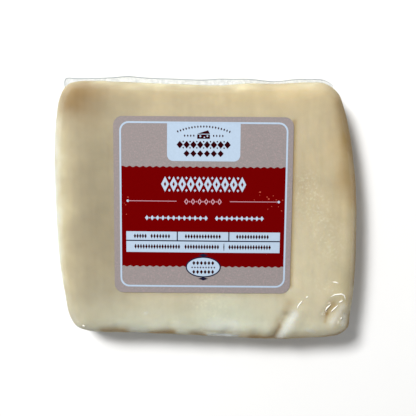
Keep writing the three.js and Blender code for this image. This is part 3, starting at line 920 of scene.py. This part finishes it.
def makeBoxes():
    boxes = printed["boxes"]
    left, right, low, high = boxes["left"], boxes["right"], boxes["bottom"], boxes["top"]
    bottom, top = layerOf(2)
    half = boxes["gap"] / 2
    ends = [left, *boxes["dividers"], right]
    parts = []
    for start, end in zip(ends, ends[1:]):
        us = np.linspace(start + (half if start != left else 0), end - (half if end != right else 0), 6)
        parts.append(columnSlab(us, boxes["middle"] + half, high, 1, bottom, top))
    parts.append(columnSlab(np.linspace(left, right, 12), low, boxes["middle"] - half, 1, bottom, top))
    inset = boxes["plateInset"]
    plate = columnSlab(np.linspace(left + inset, right - inset, 12), low + inset, high - inset, 1,
                       label["top"], top - boxes["plateDrop"])
    makeDraped("box_gaps", *plate, inkOf["navyInk"])
    makeDraped("claim_boxes", *joined(parts), inkOf["coolWhiteInk"])


makeBand()
makeFrame()
makeTab()
makeBoxes()
print("stage: fields of ink made")


# Rows of plain marks in the places where a pack carries print: one tree lays a mark along a path

def rowTree():
    tree = bpy.data.node_groups.new("markRow", "GeometryNodeTree")
    sockets = tree.interface
    sockets.new_socket("Path", in_out="INPUT", socket_type="NodeSocketGeometry")
    sockets.new_socket("Mark", in_out="INPUT", socket_type="NodeSocketObject")
    sockets.new_socket("Ink", in_out="INPUT", socket_type="NodeSocketMaterial")
    for name, kind, value in (("Count", "NodeSocketInt", 8), ("Size Change", "NodeSocketFloat", 0.0),
                              ("Seed", "NodeSocketInt", 1)):
        sockets.new_socket(name, in_out="INPUT", socket_type=kind).default_value = value
    sockets.new_socket("Marks", in_out="OUTPUT", socket_type="NodeSocketGeometry")
    given = addNode(tree, "NodeGroupInput").outputs
    curve = addNode(tree, "GeometryNodeMeshToCurve", {"Mesh": given["Path"]})
    spaced = addNode(tree, "GeometryNodeResampleCurve", {"Curve": curve, "Count": given["Count"]})
    tangent = addNode(tree, "GeometryNodeInputTangent")
    facing = addNode(tree, "FunctionNodeAlignRotationToVector", {"Vector": tangent},
                     axis="X", pivot_axis="Z")
    least = addNode(tree, "ShaderNodeMath", {0: 1.0, 1: given["Size Change"]}, operation="SUBTRACT")
    most = addNode(tree, "ShaderNodeMath", {0: 1.0, 1: given["Size Change"]}, operation="ADD")
    size = addNode(tree, "FunctionNodeRandomValue", {2: least, 3: most,
                                                     "Seed": given["Seed"]}, data_type="FLOAT")
    mark = addNode(tree, "GeometryNodeObjectInfo", {"Object": given["Mark"], "As Instance": True})
    placed = addNode(tree, "GeometryNodeInstanceOnPoints", {"Points": spaced,
                     "Instance": mark.outputs["Geometry"], "Rotation": facing, "Scale": size.outputs[1]})
    real = addNode(tree, "GeometryNodeRealizeInstances", {"Geometry": placed})
    inked = addNode(tree, "GeometryNodeSetMaterial", {"Geometry": real, "Material": given["Ink"]})
    addNode(tree, "NodeGroupOutput", {"Marks": inked})
    return tree


markRow = rowTree()


# A flat mark about its own middle, in millimetres: the loop of an outline with so many sides
def markLoop(width, height, sides, turn=0.0):
    angles = [turn + 2 * math.pi * i / sides for i in range(sides)]
    return [(width / 2 * math.cos(a), height / 2 * math.sin(a)) for a in angles]


def hollowMark(loop, stroke, thickness):
    points = np.array(loop)
    reach = np.abs(points).max(0)
    return ringSlab(loop, [tuple(p) for p in points * (1 - stroke / reach)], 0, thickness)


def solidMark(loop, thickness):
    count = len(loop)
    points = [(*p, h) for h in (0, thickness) for p in loop]
    faces = [tuple(reversed(range(count))), tuple(range(count, 2 * count))]
    faces += [(i, (i + 1) % count, count + (i + 1) % count, count + i) for i in range(count)]
    return np.array(points), faces


# The same mark moved to its place on the print, in an ink layer
def placedMark(loop, u, v, level):
    points, faces = solidMark([(u + a, v + b) for a, b in loop], inkThickness)
    points[:, 2] += layerOf(level)[0]
    return points, faces


def looseMesh(name, points, edges=(), faces=()):
    mesh = bpy.data.meshes.new(name)
    mesh.from_pydata(np.asarray(points, dtype=float).tolist(), list(edges), list(faces))
    thing = bpy.data.objects.new(name, mesh)
    bpy.context.scene.collection.objects.link(thing)
    return thing


def dropThing(thing):
    mesh = thing.data
    bpy.data.objects.remove(thing)
    bpy.data.meshes.remove(mesh)


# Runs a tree on a chain of points with its inputs by name, and gives back plain points and faces
def grown(points, edges, tree, values):
    line = looseMesh("line", points, edges=edges)
    modifier = line.modifiers.new("grown", "NODES")
    modifier.node_group = tree
    for socket in tree.interface.items_tree:
        if socket.in_out == "INPUT" and socket.name in values:
            modifier[socket.identifier] = values[socket.name]
    graph = bpy.context.evaluated_depsgraph_get()
    mesh = bpy.data.meshes.new_from_object(line.evaluated_get(graph))
    points = np.array([vertex.co[:] for vertex in mesh.vertices])
    faces = [tuple(polygon.vertices) for polygon in mesh.polygons]
    bpy.data.meshes.remove(mesh)
    dropThing(line)
    return points, faces


# Lays a mark along a path of (u, v) points, evenly spaced in an ink layer
def markAlong(mark, path, count, level, change=0.0, seed=1):
    stamp = looseMesh("stamp", mark[0], faces=mark[1])
    points = [(u, v, layerOf(level)[0]) for u, v in path]
    edges = [(i, i + 1) for i in range(len(path) - 1)]
    values = {"Mark": stamp, "Count": count, "Size Change": change, "Seed": seed}
    laid = grown(points, edges, markRow, values)
    dropThing(stamp)
    return laid


# A line of a row gives its mark's width and height, the first and last u, its v and how many there are
rows = {
    # Tall row of lozenges across the band, with small ones above and below
    "tall_lozenges": {"ink": "coolWhiteInk", "level": 2, "lines": [
        {"mark": (2.8, 5.5), "from": -13.6, "to": 13.8, "at": 7.6, "count": 10},
        {"mark": (0.9, 1.1), "from": -12.08, "to": 12.28, "at": 9.8, "count": 9},
        {"mark": (0.9, 1.1), "from": -12.08, "to": 12.28, "at": 5.4, "count": 9},
    ]},
    "lozenge_hearts": {"ink": "oxbloodInk", "level": 3, "lines": [
        {"mark": (0.9, 1.8), "from": -13.6, "to": 13.8, "at": 7.6, "count": 10},
    ]},
    # Small outlined diamonds between the hairlines
    "small_diamonds": {"ink": "pinkHairlineInk", "level": 2, "lines": [
        {"mark": (1.6, 2.2), "from": -6.0, "to": 5.8, "at": 1.4, "count": 6, "stroke": 0.42},
        {"mark": (0.5, 0.6), "from": -4.82, "to": 4.62, "at": 1.4, "count": 5},
    ]},
    # Diamonds and beads below them
    "bead_line": {"ink": "coolWhiteInk", "level": 2, "lines": [
        {"mark": (1.35, 1.8), "from": -20.1, "to": 1.0, "at": -4.55, "count": 12},
        {"mark": (0.5, 0.5), "from": -19.14, "to": 0.04, "at": -4.55, "count": 11, "sides": 8},
        {"mark": (1.35, 1.8), "from": 4.9, "to": 21.0, "at": -4.55, "count": 10},
        {"mark": (0.5, 0.5), "from": 5.8, "to": 20.1, "at": -4.55, "count": 9, "sides": 8},
    ]},
    # Fine dark pips in the white boxes
    "box_pips": {"ink": "darkMaroonInk", "level": 3, "lines": [
        {"mark": (0.86, 1.8), "from": -24.4, "to": -20.6, "at": -11.2, "count": 5},
        {"mark": (0.86, 1.8), "from": -18.4, "to": -12.2, "at": -11.2, "count": 7},
        {"mark": (0.86, 1.8), "from": -6.1, "to": 6.0, "at": -11.2, "count": 13},
        {"mark": (0.86, 1.8), "from": 12.3, "to": 23.2, "at": -11.2, "count": 12},
        {"mark": (0.86, 1.9), "from": -24.2, "to": -8.6, "at": -15.0, "count": 17},
        {"mark": (0.86, 1.9), "from": -6.2, "to": 5.4, "at": -15.0, "count": 13},
        {"mark": (0.3, 3.0), "from": 7.5, "to": 7.6, "at": -15.0, "count": 2},
        {"mark": (0.86, 1.9), "from": 9.6, "to": 24.0, "at": -15.0, "count": 16},
    ]},
    # Dark marks of the white tab: two rows of lozenges, an arc of pips and two short rows beside the wedge
    "tab_marks": {"ink": "darkMaroonInk", "level": 2, "lines": [
        {"mark": (2.3, 2.7), "from": -8.4, "to": 8.4, "at": 21.6, "count": 8},
        {"mark": (0.6, 0.7), "from": -7.2, "to": 7.2, "at": 22.7, "count": 7},
        {"mark": (0.6, 0.7), "from": -7.2, "to": 7.2, "at": 20.5, "count": 7},
        {"mark": (2.2, 2.4), "from": -6.0, "to": 6.0, "at": 18.5, "count": 6},
        {"mark": (0.6, 1.0), "arc": {"middle": (0.0, 3.8), "radius": 24.2, "degrees": 22.2}, "count": 19},
        {"mark": (0.6, 0.95), "from": -6.7, "to": -3.5, "at": 24.75, "count": 4},
        {"mark": (0.6, 0.95), "from": 3.5, "to": 6.7, "at": 24.75, "count": 4},
    ]},
    # Pips of the plain seal
    "seal_pips": {"ink": "darkMaroonInk", "level": 4, "lines": [
        {"mark": (1.1, 1.6), "from": -3.2, "to": 3.6, "at": -20.9, "count": 6},
        {"mark": (0.6, 0.8), "from": -3.8, "to": 4.2, "at": -22.55, "count": 9},
        {"mark": (1.1, 1.6), "from": -3.2, "to": 3.6, "at": -24.2, "count": 6},
    ]},
}


def rowPath(line):
    if "arc" not in line:
        return [(line["from"], line["at"]), (line["to"], line["at"])]
    (cx, cy), radius, half = line["arc"].values()
    angles = np.radians(np.linspace(90 + half, 90 - half, 24))
    return [(cx + radius * math.cos(a), cy + radius * math.sin(a)) for a in angles]


def makeRows():
    for name, row in rows.items():
        parts = []
        for line in row["lines"]:
            loop = markLoop(*line["mark"], line.get("sides", 4), math.pi / 2)
            if "stroke" in line:
                mark = hollowMark(loop, line["stroke"], inkThickness)
            else:
                mark = solidMark(loop, inkThickness)
            parts.append(markAlong(mark, rowPath(line), line["count"], row["level"]))
        makeDraped(name, *joined(parts), inkOf[row["ink"]])


makeRows()
print("stage: rows of marks made")


def makeHairlines():
    hair = printed["hairline"]
    half = hair["line"] / 2
    dot = markLoop(hair["dot"], hair["dot"], 16)
    lines, dots = [], []
    for side in (-1, 1):
        us = np.linspace(*sorted((side * hair["inner"], side * hair["outer"])), 6)
        lines.append(columnSlab(us, hair["level"] - half, hair["level"] + half, 1, *layerOf(2)))
        dots.append(placedMark(dot, side * hair["outer"], hair["level"], 2))
    makeDraped("hairlines", *joined(lines), inkOf["pinkHairlineInk"])
    makeDraped("hairline_dots", *joined(dots), inkOf["coolWhiteInk"])


# A plain wedge of cheese with round eyes, drawn from its own outline
def makeWedge():
    wedge = printed["wedge"]
    makeDraped("wedge_icon", *joined([placedMark(wedge[part], 0, 0, 2) for part in ("side", "top")]),
               inkOf["darkMaroonInk"])
    eyes = [placedMark(markLoop(size, size, 10), u, v, 3) for u, v, size in wedge["eyes"]]
    makeDraped("wedge_eyes", *joined(eyes), inkOf["coolWhiteInk"])


# A plain oval seal with a pale face and a lozenge above and below it
def makeSeal():
    seal = printed["seal"]
    cx, cy = seal["centre"]
    us = seal["width"] / 2 * np.cos(np.linspace(math.pi, 0, 33))
    highs = seal["height"] / 2 * np.sqrt(np.maximum(0, 1 - (2 * us / seal["width"]) ** 2))
    highs = np.maximum(highs, 0.05)
    dark = columnSlab(cx + us, cy - highs, cy + highs, 2, *layerOf(2))
    shareU, shareV = (1 - 2 * seal["line"] / seal[side] for side in ("width", "height"))
    light = columnSlab(cx + us * shareU, cy - highs * shareV, cy + highs * shareV, 2, *layerOf(3))
    makeDraped("seal_ground", *dark, inkOf["navyInk"])
    makeDraped("seal_face", *light, inkOf["coolWhiteInk"])
    width, height, gap = seal["drop"]
    away = seal["height"] / 2 + gap
    drops = [placedMark(markLoop(width, height, 4), cx, v, 2) for v in (cy + away, cy - away)]
    makeDraped("seal_drops", *joined(drops), inkOf["navyInk"])


# Small flakes where handling has rubbed the red ink: place on the print, size
scuffs = {
    "places": [
        (20.2, 5.0, 0.7), (20.1, 3.9, 0.4), (22.7, 3.3, 0.5), (23.3, 2.6, 0.9), (24.9, 3.7, 0.5),
        (18.2, 2.2, 0.4), (26.0, 2.3, 0.5), (28.3, 2.2, 0.5), (26.8, -0.2, 0.45), (24.4, -0.1, 0.4),
        (23.0, -1.1, 0.4), (28.0, -1.7, 0.5), (-26.9, 2.8, 0.6), (-27.6, 0.0, 0.4), (-28.1, 0.6, 0.35),
        (-27.4, -3.4, 0.45),
    ],
    "corners": 7,
    "reach": (0.55, 1.3),  # least and most share of the size that a corner stands out
    "flatness": 0.7,
    "seed": 8,
}


def makeScuffs():
    draw = np.random.default_rng(scuffs["seed"])
    angles = np.arange(scuffs["corners"]) * 2 * math.pi / scuffs["corners"]
    flakes = []
    for u, v, size in scuffs["places"]:
        reach = size / 2 * draw.uniform(*scuffs["reach"], scuffs["corners"])
        loop = [(r * math.cos(a), scuffs["flatness"] * r * math.sin(a)) for a, r in zip(angles, reach)]
        flakes.append(placedMark(loop, u, v, 2))
    makeDraped("rubbed_flakes", *joined(flakes), inkOf["rubbedInk"])


makeHairlines()
makeWedge()
makeSeal()
makeScuffs()
print("stage: icon, hairlines, seal and scuffs made")


# Crease lips: pinched folds of the film that stand up as fine lines, coloured near-white as painted glints
# along the creases

glintCreases = {
    "radius": 0.26,
    "rise": 0.05,  # of the lip's middle above the film
    "step": 0.25,
    "sides": 8,
    "hazeColour": "#FFFDF4",
    "haze": (0.7, 1.0),  # least and most
    "cloudsPerMm": 0.9,
    "taper": (0.02, 0.6),  # least swell, and the power that fills out the middle
    "paths": {
        "foldLine": [(33.4, -34.6), (33.6, -33.7), (34.4, -32.6), (35.2, -31.6)],
        "foldDot": [(36.4, -30.6), (37.3, -30.1)],
        "dash": [(46.0, -24.7), (47.0, -24.8), (48.2, -25.2)],
        "arch": [(45.4, -30.2), (47.0, -29.4), (49.3, -29.2), (50.5, -29.8), (51.0, -31.5)],
        "smallDash": [(48.5, -32.4), (50.0, -31.7)],
        "pitLeft": [(43.7, -35.6), (44.2, -34.5), (45.6, -33.2)],
        "pitRight": [(45.7, -36.0), (48.3, -33.4)],
        "cornerSpot": [(49.2, -38.6), (49.8, -38.0)],
        "frontLeftA": [(-45.6, -41.5), (-44.6, -41.9)],
        "frontLeftB": [(-47.3, -40.0), (-47.0, -40.3)],
        "frontSpeck": [(7.7, -41.3), (8.1, -41.5)],
    },
}


def lipTree():
    tree = bpy.data.node_groups.new("creaseLip", "GeometryNodeTree")
    sockets = tree.interface
    sockets.new_socket("Path", in_out="INPUT", socket_type="NodeSocketGeometry")
    sockets.new_socket("Film", in_out="INPUT", socket_type="NodeSocketMaterial")
    for name, kind, value in (("Radius", "NodeSocketFloat", 0.17), ("Step", "NodeSocketFloat", 0.25),
                              ("Sides", "NodeSocketInt", 8)):
        sockets.new_socket(name, in_out="INPUT", socket_type=kind).default_value = value
    sockets.new_socket("Lips", in_out="OUTPUT", socket_type="NodeSocketGeometry")
    given = addNode(tree, "NodeGroupInput").outputs
    curve = addNode(tree, "GeometryNodeMeshToCurve", {"Mesh": given["Path"]})
    smooth = addNode(tree, "GeometryNodeCurveSplineType", {"Curve": curve}, spline_type="CATMULL_ROM")
    even = addNode(tree, "GeometryNodeResampleCurve", {"Curve": smooth, "Length": given["Step"]},
                   mode="LENGTH")
    along = addNode(tree, "GeometryNodeSplineParameter").outputs["Factor"]
    # Half a sine from end to end, so that both ends taper to nothing
    halfTurn = addNode(tree, "ShaderNodeMath", {0: along, 1: math.pi}, operation="MULTIPLY")
    swell = addNode(tree, "ShaderNodeMath", {0: halfTurn}, operation="SINE")
    least, power = glintCreases["taper"]
    kept = addNode(tree, "ShaderNodeMath", {0: swell, 1: least}, operation="MAXIMUM")
    taper = addNode(tree, "ShaderNodeMath", {0: kept, 1: power}, operation="POWER")
    section = addNode(tree, "GeometryNodeCurvePrimitiveCircle", {"Resolution": given["Sides"],
                                                                 "Radius": given["Radius"]})
    tube = addNode(tree, "GeometryNodeCurveToMesh", {"Curve": even, "Profile Curve": section,
                                                     "Scale": taper, "Fill Caps": True})
    real = addNode(tree, "GeometryNodeRealizeInstances", {"Geometry": tube})
    skin = addNode(tree, "GeometryNodeSetMaterial", {"Geometry": real, "Material": given["Film"]})
    addNode(tree, "NodeGroupOutput", {"Lips": skin})
    return tree


# Painted glint: a near-white haze on the crease tubes stands in for highlights of light
def paintedGlintMaterial():
    material, tree = newMaterial("paintedGlintFilmCrease")
    place = addNode(tree, "ShaderNodeTexCoord").outputs["Object"]
    haze = clouds(tree, place, glintCreases["cloudsPerMm"] / mm, *glintCreases["haze"], 0.0, 1.0)[1]
    finishFilm(tree, film["clearColour"], glintCreases["hazeColour"], haze, {"Roughness": film["gloss"]})
    return material


def filmHeight(x, y):
    return filmSurface.ray_cast(Vector((x, y, 60.0)), Vector((0.0, 0.0, -1.0)))[0].z


# Each path is a chain of short straight steps laid on the film
def makeLips():
    points, edges = [], []
    for path in glintCreases["paths"].values():
        for (ax, ay), (bx, by) in zip(path, path[1:]):
            start = len(points)
            steps = max(1, round(math.dist((ax, ay), (bx, by)) / glintCreases["step"]))
            chain = [(ax + (bx - ax) * k / steps, ay + (by - ay) * k / steps) for k in range(steps + 1)]
            if (ax, ay) != path[0]:
                chain = chain[1:]
                edges.append((start - 1, start))
            points += [(x, y, filmHeight(x, y) + glintCreases["rise"]) for x, y in chain]
            edges += [(k, k + 1) for k in range(start, len(points) - 1)]
    values = {"Radius": glintCreases["radius"], "Step": glintCreases["step"], "Sides": glintCreases["sides"]}
    tubes, faces = grown(points, edges, lipTree(), values)
    return makePiece("crease_lips", tubes, faces, paintedGlintMaterial(), 60)


glintCreaseLips = makeLips()
print("stage: crease lips made")


# The pieces on the body, and what they stand for

for piece in (cheeseBlock, shrinkFilm, sealFin, glintCreaseLips):
    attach(piece, body)
    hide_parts("sealed_pack")


# Floor, light and camera

studio = {
    "floor": "#EAEAE9",
    "floorSize": 3.0,  # this and the lamps' sizes and distances are metres
    "skyColour": "#FFFFFF",
    "skyStrength": 0.33,
    "keyFrom": (-0.36, 0.47, 0.81),
    "keyDistance": 1.1,
    "keySize": 0.24,
    "keyPower": 15.2,
    "glintFrom": (0.5, -0.5, 0.72),
    "glintDistance": 1.2,
    "glintSize": 0.12,
    "glintPower": 0.6,
}
camera = {
    "target": (0.77, 2.5, 22.5),
    "distance": 245.0,
    "tilt": 8.0,
    "lens": 59.4,
}


def makeFloor():
    material, tree = newMaterial("mattWhiteBoard")
    place = addNode(tree, "ShaderNodeTexCoord").outputs["Object"]
    tone = clouds(tree, place, 60.0, 0.995, 1.005, 0.0, 1.0)[1]
    lit = addNode(tree, "ShaderNodeVectorMath", {0: linearColour(studio["floor"])[:3], "Scale": tone},
                  operation="SCALE")
    shader = addNode(tree, "ShaderNodeBsdfDiffuse", {"Color": lit})
    addNode(tree, "ShaderNodeOutputMaterial", {"Surface": shader})
    half = studio["floorSize"] / 2 / mm
    corners = [(-half, -half, 0), (half, -half, 0), (half, half, 0), (-half, half, 0)]
    makePiece("floor", corners, [(0, 1, 2, 3)], material)


def makeLight():
    world = bpy.data.worlds.new("paleRoom")
    bpy.context.scene.world = world
    world.use_nodes = True
    back = world.node_tree.nodes["Background"]
    back.inputs["Color"].default_value = linearColour(studio["skyColour"])
    back.inputs["Strength"].default_value = studio["skyStrength"]
    for name, glossy in (("key", False), ("glint", True)):
        lamp = bpy.data.lights.new(name, "AREA")
        lamp.size = studio[name + "Size"]
        lamp.energy = studio[name + "Power"]
        light = bpy.data.objects.new(name, lamp)
        toward = Vector(studio[name + "From"]).normalized()
        light.location = toward * studio[name + "Distance"]
        light.rotation_euler = toward.to_track_quat("Z", "Y").to_euler()
        light.visible_camera = False
        light.visible_glossy = glossy  # the key lights the matt surfaces, the glint only the film's creases
        light.visible_diffuse = not glossy
        bpy.context.scene.collection.objects.link(light)


def makeCamera():
    eye = bpy.data.objects.new("camera", bpy.data.cameras.new("camera"))
    eye.data.lens = camera["lens"]
    eye.data.sensor_width = 36
    eye.data.clip_start = 0.01
    tilt = math.radians(camera["tilt"])
    away = Vector((0, math.sin(tilt), math.cos(tilt))) * camera["distance"]
    eye.location = (Vector(camera["target"]) + away) * mm
    eye.rotation_euler = (-tilt, 0, 0)
    bpy.context.scene.collection.objects.link(eye)
    bpy.context.scene.camera = eye


makeFloor()
makeLight()
makeCamera()
bpy.context.scene.view_settings.view_transform = "Standard"
print("stage: studio made")
